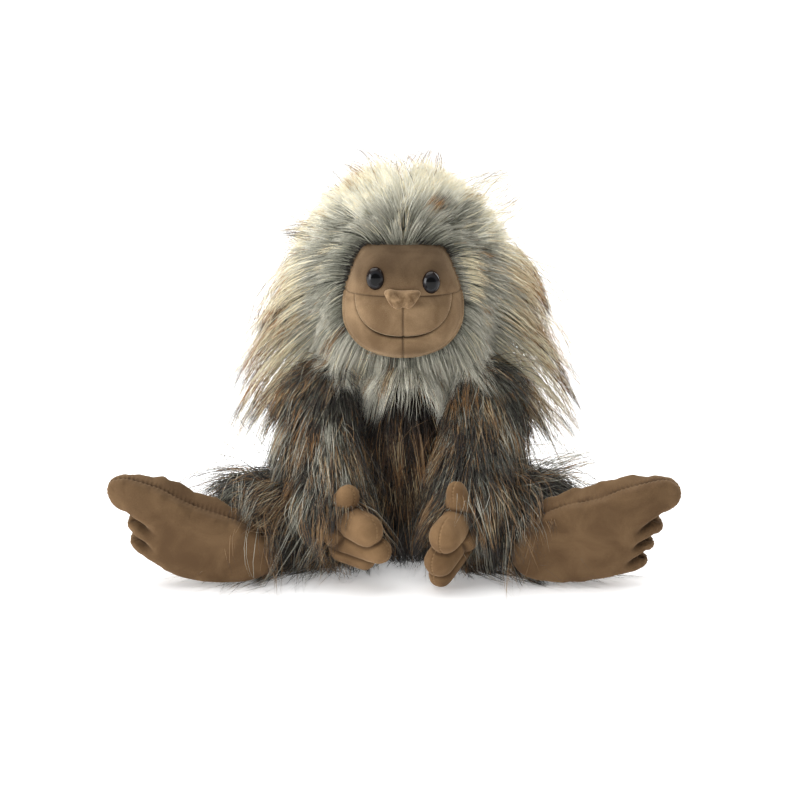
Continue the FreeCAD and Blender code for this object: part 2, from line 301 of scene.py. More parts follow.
def thicken(obj, depth):
    """Turn a cloth panel to the front and give it a wall of some mm."""
    if obj.data.polygons[0].normal.y > 0:
        obj.data.flip_normals()
    wall = obj.modifiers.new("cloth", "SOLIDIFY")
    wall.thickness, wall.offset = depth * MM, -1


def resample(curve, step, closed=False):
    """Points along a curve at an even step."""
    run = np.concatenate([[0], np.cumsum(np.linalg.norm(np.diff(curve, axis=0), axis=1))])
    where = np.linspace(0, run[-1], max(int(run[-1] / step), 8), endpoint=not closed)
    return np.stack([np.interp(where, run, curve[:, k]) for k in (0, 1)], axis=1)


def closed_curve(points, step):
    """A smooth closed loop (Catmull-Rom) through some points, sampled at an even step."""
    points = np.asarray(points, float)
    before, after, beyond = (np.roll(points, k, axis=0) for k in (1, -1, -2))
    samples = []
    for t in np.linspace(0, 1, 24, endpoint=False):
        samples.append(0.5 * (2 * points + (after - before) * t
                              + (2 * before - 5 * points + 4 * after - beyond) * t ** 2
                              + (3 * points - before - 3 * after + beyond) * t ** 3))
    dense = np.stack(samples, axis=1).reshape(-1, 2)
    return resample(np.vstack([dense, dense[:1]]), step, closed=True)


def inside(points, loop):
    """Which points lie inside a closed polygon."""
    result = np.zeros(len(points), bool)
    for a, b in zip(loop, np.roll(loop, -1, axis=0)):
        crosses = (a[1] > points[:, 1]) != (b[1] > points[:, 1])
        rise = b[1] - a[1] if b[1] != a[1] else 1e-12
        result ^= crosses & (points[:, 0] < (b[0] - a[0]) * (points[:, 1] - a[1]) / rise + a[0])
    return result


def nearest_on(points, line, closed=True):
    """Distance from each point to a polyline, and how far along it that is."""
    best = np.full(len(points), np.inf)
    where = np.zeros(len(points))
    run = 0.0
    for a, b in zip(line, np.roll(line, -1, axis=0) if closed else line[1:]):
        along = b - a
        size = np.linalg.norm(along)
        t = np.clip(((points - a) @ along) / max(along @ along, 1e-12), 0, 1)
        gap = np.linalg.norm(points - (a + t[:, None] * along), axis=1)
        nearer = gap < best
        best[nearer], where[nearer] = gap[nearer], run + size * t[nearer]
        run += size
    return best, where


def distance_to(points, line, closed=False):
    return nearest_on(points, line, closed)[0]


def rod_gap(points, start, finish, radius_a, radius_b):
    """Distance from points to a tapering rod with round ends, and their offset from its axis."""
    along = finish - start
    t = np.clip(((points - start) @ along) / (along @ along), 0, 1)
    away = points - (start + t[:, None] * along)
    return np.linalg.norm(away, axis=1) - (radius_a + (radius_b - radius_a) * t), away


def triangulate(loop, step, lines=(), rows=()):
    """A flat triangle mesh inside a loop, with edges along some inner lines.

    Rows are shares of the step at which rings of points follow the loop.
    """
    low, high = loop.min(0), loop.max(0)
    levels = np.arange(low[1], high[1], step * 0.87)
    grid = np.array([(x + (k % 2) * step / 2, y) for k, y in enumerate(levels)
                     for x in np.arange(low[0], high[0], step)])
    clear = step * (rows[-1] + 0.7 if rows else 0.6)
    grid = grid[inside(grid, loop) & (distance_to(grid, loop, True) > clear)]
    for line in lines:
        grid = grid[distance_to(grid, line) > step * 0.5]
    points = [loop]
    edges = [(k, (k + 1) % len(loop)) for k in range(len(loop))]
    start = len(loop)
    for line in lines:
        points.append(line)
        edges += [(start + k, start + k + 1) for k in range(len(line) - 1)]
        start += len(line)
    way = np.roll(loop, -1, axis=0) - np.roll(loop, 1, axis=0)
    turned = unit(np.stack([-way[:, 1], way[:, 0]], axis=1))
    if not inside(loop[:1] + turned[:1] * step * 0.1, loop)[0]:
        turned = -turned
    for share in rows:
        row = loop + turned * share * step
        points.append(row[inside(row, loop) & (distance_to(row, loop, True) > share * step * 0.93)])
    points.append(grid)
    flat = [Vector(p) for p in np.vstack(points)]
    verts, _, faces, _, _, _ = geometry.delaunay_2d_cdt(flat, edges, [], 0, 1e-6)
    verts = np.array([tuple(v) for v in verts])
    faces = np.array(faces)
    return verts, faces[inside(verts[faces].mean(axis=1), loop)]


# ------------------------------------------------------------------ fur
class Bodies:
    """Rough round shapes of the whole toy, which no strand may enter."""
    balls = []   # (centre, radii)
    rods = []    # (start, finish, radius at the start, radius at the finish)

    @classmethod
    def depth(cls, points):
        """Signed distance to the nearest shape, and the way out of it."""
        best = np.full(len(points), np.inf)
        out = np.zeros_like(points)
        for centre, radii in cls.balls:
            scaled = (points - centre) / radii
            gap = (np.linalg.norm(scaled, axis=1) - 1) * np.min(radii)
            nearer = gap < best
            best[nearer], out[nearer] = gap[nearer], unit(scaled / radii)[nearer]
        for rod in cls.rods:
            gap, away = rod_gap(points, *rod)
            nearer = gap < best
            best[nearer], out[nearer] = gap[nearer], unit(away[nearer])
        return best, out


DOWN = np.array([0, 0, -1.0])
CAD_LOW, CAD_HIGH = np.array(cad_box[0]), np.array(cad_box[1])
PROUD = (CAD_HIGH - CAD_LOW) * 0.03 + 8 * MM   # how far fur may stand out of the CAD box
FLOOR_GAP = 0.7     # mm: how close to the floor a strand may lie
LEADER_SHARE = 0.15      # how much of the spread of their roots a lock's tips keep


def scatter(obj, count):
    """Random roots on an object's surface with their normals."""
    mesh = obj.data
    mesh.calc_loop_triangles()
    tris = np.zeros(len(mesh.loop_triangles) * 3, np.int32)
    mesh.loop_triangles.foreach_get("vertices", tris)
    co = read_points(obj)[tris.reshape(-1, 3)]
    cross = np.cross(co[:, 1] - co[:, 0], co[:, 2] - co[:, 0])
    area = np.linalg.norm(cross, axis=1)
    pick = rng.choice(len(co), count, p=area / area.sum())
    u, v = rng.random((2, count, 1))
    u, v = np.where(u + v > 1, 1 - u, u), np.where(u + v > 1, 1 - v, v)
    a, b, c = co[pick, 0], co[pick, 1], co[pick, 2]
    return a + u * (b - a) + v * (c - a), unit(cross[pick])


def tangent(directions, normals):
    """Directions laid flat on the skin."""
    return unit(directions - (directions * normals).sum(-1, keepdims=True) * normals)


def flow(roots, normals, comb, lift, length, droop, wave, segments, above):
    """Strand paths: out of the skin, over to the comb direction, then down."""
    count = len(roots)
    step = (length / segments)[:, None]
    droop, wave = (value + np.zeros(count) for value in (droop, wave))
    way = unit(normals * lift[:, None] + comb * (1 - lift)[:, None])
    swirl = unit(rng.normal(size=(count, 3)))
    phase = rng.random(count) * 2 * math.pi
    here = roots.copy()
    path = [here]
    for k in range(segments):
        t = (k + 1) / segments
        way = unit(way + comb * 0.14 + DOWN * (droop * t)[:, None]
                   + swirl * (wave * np.sin(phase + 5 * t))[:, None])
        here = here + way * step
        gap, out = Bodies.depth(here)
        room = (1.2 + above * t) * MM
        here = here + out * np.clip(room - gap, 0, 12 * MM)[:, None]
        here = np.clip(here, CAD_LOW - PROUD, CAD_HIGH + PROUD)
        here[:, 2] = np.maximum(here[:, 2], (FLOOR_GAP + 0.5 * rng.random(count)) * MM)
        way = unit(here - path[-1])
        path.append(here)
    return np.stack(path, axis=1)


def clump(paths, size, strength):
    """Draw strands together towards their tips, in locks of about a given size."""
    roots = paths[:, 0]
    count = max(int(len(roots) / size), 1)
    leaders = rng.choice(len(roots), count, replace=False)
    tree = kdtree.KDTree(count)
    for k, leader in enumerate(leaders):
        tree.insert(Vector(roots[leader]), k)
    tree.balance()
    owner = np.array([leaders[tree.find(Vector(root))[1]] for root in roots])
    pull = (np.linspace(0, 1, paths.shape[1]) ** 1.2)[None, :, None] * strength[:, None, None]
    spread = (roots - roots[owner])[:, None, :] * LEADER_SHARE
    return paths * (1 - pull) + (paths[owner] + spread) * pull, owner


def strand_object(name, paths, widths, colours):
    """Closed three-sided tapering tubes along the paths, a shade for each stretch."""
    count, rings = paths.shape[:2]
    along = unit(np.gradient(paths, axis=1))
    side = unit(np.cross(along, rng.normal(size=(count, 1, 3))))
    other = np.cross(along, side)
    taper = np.interp(np.linspace(0, 1, rings), [0, 0.35, 0.6, 0.8, 1], [1, 0.95, 0.8, 0.5, 0.2])
    radius = widths[:, None, None] / 2 * taper[None, :, None]
    corners = [paths + radius * (side * math.cos(angle) + other * math.sin(angle))
               for angle in (0, 2 * math.pi / 3, 4 * math.pi / 3)]
    tube = np.stack(corners, axis=2)[:, :-1].reshape(count, -1, 3)
    points = np.concatenate([tube, paths[:, -1:]], axis=1)
    per = points.shape[1]
    quads = [[3 * ring + k, 3 * ring + (k + 1) % 3, 3 * ring + (k + 1) % 3 + 3, 3 * ring + k + 3]
             for ring in range(rings - 2) for k in range(3)]
    last = (rings - 2) * 3
    ends = [[last + k, last + (k + 1) % 3, per - 1] for k in range(3)] + [[2, 1, 0]]
    tone = [ring for ring in range(rings - 2) for _ in range(3)] + [rings - 2] * 3 + [0]
    corner_list = np.concatenate([np.ravel(quads), np.ravel(ends)])
    base = (np.arange(count) * per)[:, None]
    loops = (base + corner_list[None, :]).ravel().astype(np.int32)
    totals = np.tile([4] * len(quads) + [3] * len(ends), count)
    starts = np.concatenate([[0], np.cumsum(totals)[:-1]]).astype(np.int32)
    mesh = bpy.data.meshes.new(name)
    mesh.vertices.add(count * per)
    mesh.vertices.foreach_set("co", points.reshape(-1).astype(np.float32))
    mesh.loops.add(len(loops))
    mesh.loops.foreach_set("vertex_index", loops)
    mesh.polygons.add(len(totals))
    mesh.polygons.foreach_set("loop_start", starts)
    shade = colours[:, np.array(tone)].ravel()
    used = np.unique(shade)
    for index in used:
        mesh.materials.append(HAIR_MATERIALS[index])
    mesh.polygons.foreach_set("material_index", np.searchsorted(used, shade).astype(np.int32))
    mesh.polygons.foreach_set("use_smooth", np.ones(len(totals), bool))
    mesh.update(calc_edges=True)
    return add_object(name, mesh)


# kinds of strand: the shade of each stretch from root to tip
KINDS = {
    "rim": "slate sage sage grey grey silver",
    "rim_dark": "coal slate sage sage grey grey",
    "crown": "cream white white white white cream",
    "crown_tan": "silver cream white cream sand sand",
    "crown_tip": "silver cream white cream tan umber",
    "side": "grey silver cream cream cream sand",
    "side_amber": "grey silver sand sand amber brown",
    "side_grey": "sage grey grey silver silver silver",
    "guard": "grey silver cream cream amber umber",
    "guard_dark": "grey silver cream sand brown black",
    "guard_black": "sage grey tan umber black black",
    "beard": "grey silver silver silver white white",
    "beard_grey": "slate sage grey grey silver silver",
    "beard_cream": "grey silver cream cream sand amber",
    "chest": "black umber umber brown brown umber",
    "chest_tan": "umber brown tan tan amber brown",
    "chest_sand": "brown tan sand sand tan brown",
    "chest_black": "black black coal umber black black",
    "limb": "coal coal slate sage sage tan",
    "limb_dark": "black coal coal slate umber black",
    "limb_grey": "coal coal slate sage sage slate",
    "limb_tan": "coal coal brown tan tan umber",
    "limb_sand": "coal slate tan sand tan umber",
    "limb_amber": "coal umber brown amber tan umber",
    "limb_silver": "coal slate grey silver grey grey",
}
KIND_NAMES = list(KINDS)
KIND_TABLE = np.array([[HAIR_NAMES.index(shade) for shade in KINDS[kind].split()]
                       for kind in KIND_NAMES])


def shades(kinds, segments):
    """Shade of each segment of each strand, with the breaks moved a little at random."""
    spot = np.linspace(0, 5, segments)[None, :] + rng.normal(0, 0.45, (len(kinds), 1))
    spot = np.clip(np.rint(spot), 0, 5).astype(int)
    return KIND_TABLE[kinds[:, None], spot]


def draw_kinds(count, weights):
    """Pick a kind for each strand from {kind: weight or array of weights}."""
    table = np.stack([np.broadcast_to(np.asarray(w, float), count) for w in weights.values()], 1)
    limit = np.cumsum(table, axis=1)
    draw = rng.random(count) * limit[:, -1]
    column = np.minimum((draw[:, None] > limit).sum(axis=1), len(weights) - 1)
    return np.array([KIND_NAMES.index(kind) for kind in weights])[column]


MOST_STRANDS = 6500      # in one piece, to keep its mesh a workable size

# one coat of fur: how many strands, a factor on their length, how far they stray from the comb,
# their width in mm, how many make a lock and a tuft and how tightly these close (least, most),
# how far the tips stay above the skin in mm, and the segments of a strand
Coat = namedtuple("Coat", "strands scale stray thick lock lock_pull tuft tuft_pull above segments")


def lay_fur(name, body, where, comb, lift, length, droop, wave, kinds, coat):
    """One coat of strands: flowed, drawn into locks and tufts, coloured and made solid."""
    roots, normals = where
    count = len(roots)
    scale = 1.0
    paths = flow(roots, normals, comb, lift, length, droop, wave, coat.segments, coat.above)
    paths, lock = clump(paths, coat.lock / scale ** 2, rng.uniform(*coat.lock_pull, count))
    paths, leader = clump(paths, coat.tuft / scale, rng.uniform(*coat.tuft_pull, count))
    paths[:, 1:, 2] = np.maximum(paths[:, 1:, 2], FLOOR_GAP * MM)
    kinds = np.where(rng.random(count) < 0.62, kinds[lock], kinds)
    kinds = np.where(rng.random(count) < 0.55, kinds[leader], kinds)
    widths = coat.thick * MM * scale * rng.uniform(0.65, 1.25, count)
    colours = shades(kinds, coat.segments)
    parts = math.ceil(count / MOST_STRANDS)
    around = np.argsort(np.arctan2(roots[:, 0] - roots[:, 0].mean(),
                                   roots[:, 1] - roots[:, 1].mean()))
    for number, chosen in enumerate(np.array_split(around, parts), start=1):
        label = f"{name}_{number}" if parts > 1 else name
        piece = strand_object(label, paths[chosen], widths[chosen], colours[chosen])
        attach(piece, body)


# ------------------------------------------------------------------ skins under the fur
def ring_points(rings, sides):
    """Points of a tube's rings: each is (centre, radius, axis)."""
    angles = np.arange(sides) * 2 * math.pi / sides
    points = []
    for centre, radius, axis in rings:
        across = unit(np.cross(axis, [0.3, 1.0, 0.2]))
        up = np.cross(unit(axis), across)
        points.append(centre + radius * (np.cos(angles)[:, None] * across
                                         + np.sin(angles)[:, None] * up))
    return np.vstack(points)


def round_skin(name, rings, material, sides=48):
    """A closed skin of rings."""
    return make_object(name, ring_points(rings, sides), ring_faces(len(rings), sides), [material])


def ring_faces(rings, sides):
    """Side and end faces of a tube of rings."""
    faces = [[ring * sides + k, ring * sides + (k + 1) % sides,
              (ring + 1) * sides + (k + 1) % sides, (ring + 1) * sides + k]
             for ring in range(rings - 1) for k in range(sides)]
    faces.append(list(range(sides))[::-1])
    faces.append([(rings - 1) * sides + k for k in range(sides)])
    return faces


def ball_rings(centre, radius, axis, low=-89.0, high=89.0, count=28):
    """Rings of a ball, from one angle above its middle to another."""
    return [(centre + axis * radius * math.sin(math.radians(a)),
             radius * math.cos(math.radians(a)), axis) for a in np.linspace(low, high, count)]


UP = np.array([0, 0, 1.0])
# the torso cover: share of its height, share of its widest radius
TORSO_PROFILE = ([0, 0.06, 0.28, 0.5, 0.75, 0.9, 0.97, 1],
                 [0.64, 0.86, 1, 0.93, 0.74, 0.52, 0.3, 0.03])


def build_skins():
    """Cloth covers under the fur, one for each moving body."""
    skins = {}
    floor_angle = math.degrees(math.asin((HOOD_LOW[2] + 2 * MM - SKULL_CENTRE[2]) / SKULL[2]))
    skins["head"] = round_skin("head_cover", ball_rings(np.zeros(3), 1.0, UP, floor_angle),
                               UNDERWOOL, 96)
    ball = read_points(skins["head"])
    set_shade(skins["head"], "seam", smooth(0.35, 0.8, ball[:, 2]) * smooth(0.75, 0.2, ball[:, 1]))
    write_points(skins["head"], ball * SKULL + SKULL_CENTRE)
    Bodies.balls.append((SKULL_CENTRE, SKULL))

    height = TORSO_HIGH[2] - TORSO_LOW[2]
    belly = (TORSO_HIGH[0] - TORSO_LOW[0]) / 2 - 2 * MM
    rings = [(np.array([0, 0, TORSO_LOW[2] + 0.4 * MM + t * height]),
              belly * np.interp(t, *TORSO_PROFILE), UP) for t in np.linspace(0, 1, 36)]
    skins["torso"] = round_skin("torso_cover", rings, UNDERWOOL_DARK, 72)
    Bodies.rods.append((np.array([0, 0, 38 * MM]), np.array([0, 0, 100 * MM]),
                        belly * 0.97, belly * 0.66))

    for side, sign in SIDES:
        for limb, (near, far, radii) in LIMBS.items():
            start, finish = pivot(f"{side}_{near}"), pivot(f"{side}_{far}")
            axis = unit(finish - start)
            length = np.linalg.norm(finish - start)
            wide = [r * MM for r in radii]
            rings = ball_rings(start, wide[0], axis, -89, 0, 10)
            rings += [(start + axis * length * t, np.interp(t, [0, 0.5, 1], wide), axis)
                      for t in np.linspace(0.12, 1.0, 12)]
            rings += [(finish + axis * 5 * MM * math.sin(math.radians(a)),
                       wide[2] * math.cos(math.radians(a)), axis) for a in (35, 65, 88)]
            skins[f"{side}_{limb}"] = round_skin(f"{side}_{limb}_cover", rings, UNDERWOOL_LIMB)
            Bodies.rods.append((start, finish, wide[0], wide[2]))
    for body, skin in skins.items():
        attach(skin, body)
        if body == "head":
            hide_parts("hood_left_panel", "hood_right_panel", "head_stuffing")
        elif body == "torso":
            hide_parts("torso_front_panel", "torso_back_panel", "torso_stuffing")
        else:
            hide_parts(f"{body}_outer_panel", f"{body}_inner_panel", f"{body}_stuffing")
    return skins


# ------------------------------------------------------------------ the face
# half of the face's outline: how wide it is at heights above and below the straight seam
FACE_HEIGHTS = [29.2, 28.6, 27.0, 23.0, 17.5, 9.0, 0, -10, -21, -30.5, -37.8, -41.8, -43.4]
FACE_WIDTHS = [8.0, 17.0, 23.5, 27.2, 30.2, 33.5, 36.0, 37.2, 36.3, 31.5, 23.5, 13.5, 5.0]
FACE_MIDDLE = np.array([0, -5.5])
MUZZLE_WIDE, MUZZLE_TALL, MUZZLE_POWER = 30.6, 26.6, 2.4
FACE_WALL, NOSE_WALL = 1.6, 1.4      # mm of cloth


def face_loop(step, grow=1.0):
    right = list(zip(FACE_WIDTHS, FACE_HEIGHTS))
    left = [(-w, z) for w, z in reversed(right)]
    return FACE_MIDDLE + (closed_curve(right + left, step) - FACE_MIDDLE) * grow


def muzzle_share(x, z):
    """0 at the muzzle's middle, 1 on the smile that goes round it."""
    return (np.abs(x) / MUZZLE_WIDE) ** MUZZLE_POWER + (np.abs(z) / MUZZLE_TALL) ** MUZZLE_POWER


def smile_curve(step):
    angles = np.linspace(math.pi, 2 * math.pi, 200)
    across = np.cos(angles)
    down = -np.abs(np.sin(angles)) ** (2 / MUZZLE_POWER)
    across = np.sign(across) * np.abs(across) ** (2 / MUZZLE_POWER)
    return resample(np.stack([across * MUZZLE_WIDE, down * MUZZLE_TALL], axis=1), step)


def straight(a, b, step):
    a, b = np.array(a, float), np.array(b, float)
    count = max(int(np.linalg.norm(b - a) / step), 2)
    return a + (b - a) * np.linspace(0, 1, count)[:, None]


def face_depth(flat, loop):
    """How far back each face point (mm, across and up from the seam) lies behind the front."""
    x, z = flat[:, 0], flat[:, 1]
    out, around = flat - FACE_MIDDLE, loop - FACE_MIDDLE
    angle, reach = np.arctan2(around[:, 1], around[:, 0]), np.linalg.norm(around, axis=1)
    order = np.argsort(angle)
    own = np.arctan2(out[:, 1], out[:, 0])
    edge = np.interp(own, angle[order], reach[order], period=2 * math.pi)
    reached = np.linalg.norm(out, axis=1) / edge
    q = np.clip(reached, 0, 1)
    back = 25.0 * (1 - np.sqrt(np.clip(1 - q ** 2.4, 0, 1)))
    back += 60.0 * np.clip(reached - 1, 0, 1)
    back -= 3.2 * np.sqrt(np.clip(1 - muzzle_share(x, z), 0, 1)) * smooth(0, 7, -z)
    back -= 1.5 * np.exp(-((np.abs(x) / 30) ** 4)) * np.exp(-((z + 36) / 5.0) ** 2)
    for side in (-1, 1):
        back += 1.5 * np.exp(-(((x - side * 17.3) / 8) ** 2 + ((z - 8.5) / 7) ** 2))
    back -= 1.4 * np.exp(-((x / 24) ** 4)) * np.exp(-((z - 18) / 7.0) ** 2)
    return back


def build_face():
    step = 0.9
    loop = face_loop(step, 1.05)
    inner = face_loop(step)
    widest = np.abs(loop[np.argsort(np.abs(loop[:, 1]))[:6], 0]).max()
    seam = straight((-widest, 0), (widest, 0), step)
    smile = smile_curve(step)
    lip = straight((0, -1.0), (0, -MUZZLE_TALL), step)
    chin = straight((0, -MUZZLE_TALL), (0, loop[:, 1].min()), step)
    flat, faces = triangulate(loop, step, (seam, smile, lip, chin))
    back = face_depth(flat, inner)
    # mouth: in its middle the smile is cut deeper and gets more painted shade
    mouth = np.exp(-((flat[:, 0] + 1) / 20) ** 4)
    shade = np.zeros(len(flat))
    # each groove: its line, how deep, how wide and how dark its painted shade is
    for line, depth, wide, dark in ((seam, 0.7, 0.8, 0.3),
                                    (smile, 0.7 + 1.6 * mouth, 0.9, 0.2 + 0.75 * mouth),
                                    (lip, 0.7, 0.7, 0.4), (chin, 0.8, 0.7, 0.35)):
        gap = distance_to(flat, line)
        back += depth * np.exp(-(gap / wide) ** 2)
        shade = np.maximum(shade, dark * np.exp(-(gap / 0.7) ** 2))
    shade = np.maximum(shade, 0.52 * smooth(-3, 17, flat[:, 1]))     # painted shade: the brow is darker towards the top, where the hood's fur hangs over it
    x, z = flat[faces].mean(axis=1).T
    muzzle, left = muzzle_share(x, z) < 1, x > 0
    regions = {
        "forehead": z > 0,
        "muzzle_left": (z <= 0) & muzzle & left, "muzzle_right": (z <= 0) & muzzle & ~left,
        "chin_left": (z <= 0) & ~muzzle & left, "chin_right": (z <= 0) & ~muzzle & ~left,
    }
    front = FACE_FRONT / MM
    solid = np.stack([flat[:, 0], front + back, SEAM_Z / MM + flat[:, 1]], axis=1) * MM
    for region, chosen in regions.items():
        own = faces[chosen]
        keep, renumbered = np.unique(own, return_inverse=True)
        renumbered = renumbered.reshape(own.shape)
        panel = make_object(f"{region}_cloth", solid[keep], renumbered, [VELOUR_FACE], shade[keep])
        thicken(panel, FACE_WALL)
        apply_modifiers(panel)
        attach(panel, "head")
        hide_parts(f"{region}_panel")


def face_point(x, z):
    """A point on the face's front, in metres, from mm across and up from the seam."""
    flat = np.array([[x, z]], float)
    back = face_depth(flat, face_loop(1.5))[0]
    return np.array([x * MM, FACE_FRONT + back * MM, SEAM_Z + z * MM])


NOSE_OUTLINE = [(-9.0, 5.2), (-1, 4.4), (8.0, 4.8), (11.0, 3.2), (10.6, 0.4), (8.0, -4.0),
                (5.0, -7.2), (2.2, -7.8), (0, -7.0), (-2.4, -7.8), (-5.4, -7.6), (-8.8, -4.6),
                (-11.6, 0.6), (-12.0, 3.4)]


def build_nose():
    step = 0.8
    loop = closed_curve(NOSE_OUTLINE, step)
    flat, faces = triangulate(loop, step)
    edge = distance_to(flat, loop, True)
    puff = 6.2 * np.sqrt(np.clip(1 - (1 - np.clip(edge / 5.2, 0, 1)) ** 2, 0, 1))
    puff += 0.35 * sum(np.exp(-(((flat[:, 0] - x) / 3.6) ** 2 + ((flat[:, 1] + 2.3) / 3.4) ** 2))
                       for x in (4.8, -4.8))
    front = face_point(0, -3.5)
    points = [np.array([x * MM, front[1] + (1.2 - p) * MM, SEAM_Z + z * MM])
              for (x, z), p in zip(flat, puff)]
    # the light velour_nose colour along the pad's rim is a painted sheen highlight
    nose = make_object("nose_pad", points, faces, [VELOUR_NOSE], 0.5 * np.exp(-(edge / 0.9) ** 2))
    thicken(nose, NOSE_WALL)
    subdivide(nose, 1)
    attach(nose, "head")
    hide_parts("nose")


EYE_WIDE, EYE_TALL, EYE_DEEP = 5.8, 7.2, 4.4       # mm: half-width, half-height, dome
EYE_LIFT = {"left": -3.3, "right": -1.0}           # mm: one eye sits a little higher


def build_eyes():
    """Oval domes with a thin rim on the CAD eyes' places; their washers stay as they are."""
    profile = [(0.35, 4.5), (1.0, 1.2), (1.03, 0.2), (1.0, -0.6)]
    profile += [(math.cos(math.radians(a)), -0.6 - EYE_DEEP * math.sin(math.radians(a)))
                for a in np.linspace(8, 86, 12)]
    sides = 48
    for side, sign in SIDES:
        low, high = span(f"{side}_eye")
        centre = (low + high) / 2
        height = centre[2] + EYE_LIFT[side] * MM
        skin = face_point(centre[0] / MM, (height - SEAM_Z) / MM)
        points, rim = [], []
        for share, back in profile:
            for k in range(sides):
                angle = 2 * math.pi * k / sides
                points.append((centre[0] + EYE_WIDE * MM * share * math.cos(angle),
                               skin[1] + back * MM,
                               height + EYE_TALL * MM * share * math.sin(angle)))
                rim.append(share)
        faces = [face[::-1] for face in ring_faces(len(profile), sides)]
        eye = make_object(f"{side}_eye_dome", points, faces, [EYE_PLASTIC], rim)
        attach(eye, "head")
        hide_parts(f"{side}_eye")


# ------------------------------------------------------------------ padded hands and feet
def inflate(loop, step):
    """A pillow sewn along a loop, flat: its points with heights -1 to 1, faces, seam points."""
    flat, faces = triangulate(loop, step, rows=(0.45, 1.1, 2.0))
    count = len(flat)
    edge = distance_to(flat, loop, True)
    free = np.where(edge > step * 0.2)[0]
    links = np.zeros((count, count), np.float32)
    for a, b in ((0, 1), (1, 2), (2, 0)):
        links[faces[:, a], faces[:, b]] = 1
        links[faces[:, b], faces[:, a]] = 1
    matrix = np.diag(links.sum(axis=1)) - links
    area = np.zeros(count)
    corner = flat[faces]
    one, two = corner[:, 1] - corner[:, 0], corner[:, 2] - corner[:, 0]
    size = np.abs(one[:, 0] * two[:, 1] - one[:, 1] * two[:, 0]) / 2
    np.add.at(area, faces.ravel(), np.repeat(size / 3, 3))
    height = np.zeros(count)
    height[free] = np.linalg.solve(matrix[np.ix_(free, free)].astype(float), area[free])
    height = np.sqrt(np.maximum(height, 0))
    height = np.tanh(1.5 * height / height.max()) / math.tanh(1.5)
    number = np.arange(count)
    number[free] = count + np.arange(len(free))
    points = np.vstack([np.column_stack([flat, height]), np.column_stack([flat, -height])[free]])
    shapes = np.vstack([faces, number[faces][:, ::-1]])
    return points, shapes, np.arange(len(loop))


def puff_up(obj, frames, pressure, cap):
    """Blow a closed cover up a little as cloth, so that it settles between its seams."""
    start = read_points(obj)
    scene = bpy.context.scene
    cloth = obj.modifiers.new("puff", "CLOTH")
    settings = cloth.settings
    settings.quality = 6
    settings.mass = 0.25
    settings.tension_stiffness = 12
    settings.compression_stiffness = 12
    settings.shear_stiffness = 6
    settings.bending_stiffness = 0.6
    settings.use_pressure = True
    settings.uniform_pressure_force = pressure
    settings.effector_weights.gravity = 0
    cloth.point_cache.frame_start = 1
    cloth.point_cache.frame_end = frames
    for number in range(1, frames + 1):
        scene.frame_set(number)
    graph = bpy.context.evaluated_depsgraph_get()
    end = read_points(obj.evaluated_get(graph))
    obj.modifiers.clear()
    scene.frame_set(1)
    move = end - start
    far = np.linalg.norm(move, axis=1, keepdims=True)
    write_points(obj, start + move * np.minimum(1, cap / np.maximum(far, 1e-9)))


def declare_pillow(obj, body, nodes):
    points = read_points(obj)
    points[:, 2] = np.maximum(points[:, 2], 0.3 * MM)
    write_points(obj, points)
    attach(obj, body)
    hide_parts(*nodes)


# the sewn outline of a foot, mm: x from the heel to the toes, y up towards the big toe.
# The right foot shows two small toes and the left foot three.
FOOT = {
    "right": [(1.2, 20), (2.8, 11), (10, 4.6), (20.7, 1.6), (34.6, 0.4), (53, 2.2),
              (65.6, 5.2), (73.7, 9.4), (82, 15.5), (88.5, 19.8), (93.4, 24.6), (94.6, 29.5),
              (93.0, 33.2), (95.8, 37), (95.8, 41.5), (94.4, 45.5), (101.5, 49), (106.4, 55.4),
              (108, 62), (104.5, 68.2), (95, 69.6), (87.7, 67.4), (77.8, 64.2), (69.6, 60.2),
              (61.4, 55.4), (51.7, 51.2), (41, 46.8), (28.8, 42.6), (16.6, 36.4), (8.4, 30.2),
              (3, 25)],
    "left": [(1.2, 22), (2.4, 12), (9, 5.0), (20.7, 1.4), (36, 0.4), (52, 1.6), (66, 4.6),
             (77, 7.6), (83.5, 9.6), (88, 14.0), (87.6, 18.0), (84.6, 20.0), (90.4, 22.6),
             (92.2, 27.2), (89.2, 31.0), (95.2, 33.6), (97.4, 39), (94.2, 44.6), (103, 49.4),
             (107.6, 56.6), (106.6, 63.6), (99, 68.6), (89, 67.6), (77.8, 64.2), (67, 60.8),
             (56, 56.2), (43, 53.4), (28.8, 49.6), (15.5, 42.4), (7, 33.8)],
}
# creases from between the toes into the sole: from, to, depth
CREASES = {
    "right": (((96, 45.6), (74, 32), 5.5), ((94.5, 33.4), (76, 21), 4.6)),
    "left": (((95.5, 44.8), (76, 33), 5.0), ((90.4, 31.2), (74, 23), 4.2),
             ((85.5, 20.2), (71, 12.5), 4.0)),
}
FOOT_STEP = 2.4       # mm between points of the flat pattern
FOOT_UPPER_RISE = 11.0   # how far the deep upper stands above the seam at the instep
SOLE_BULGE = 0.62        # share of half the foot's thickness that the sole bulges


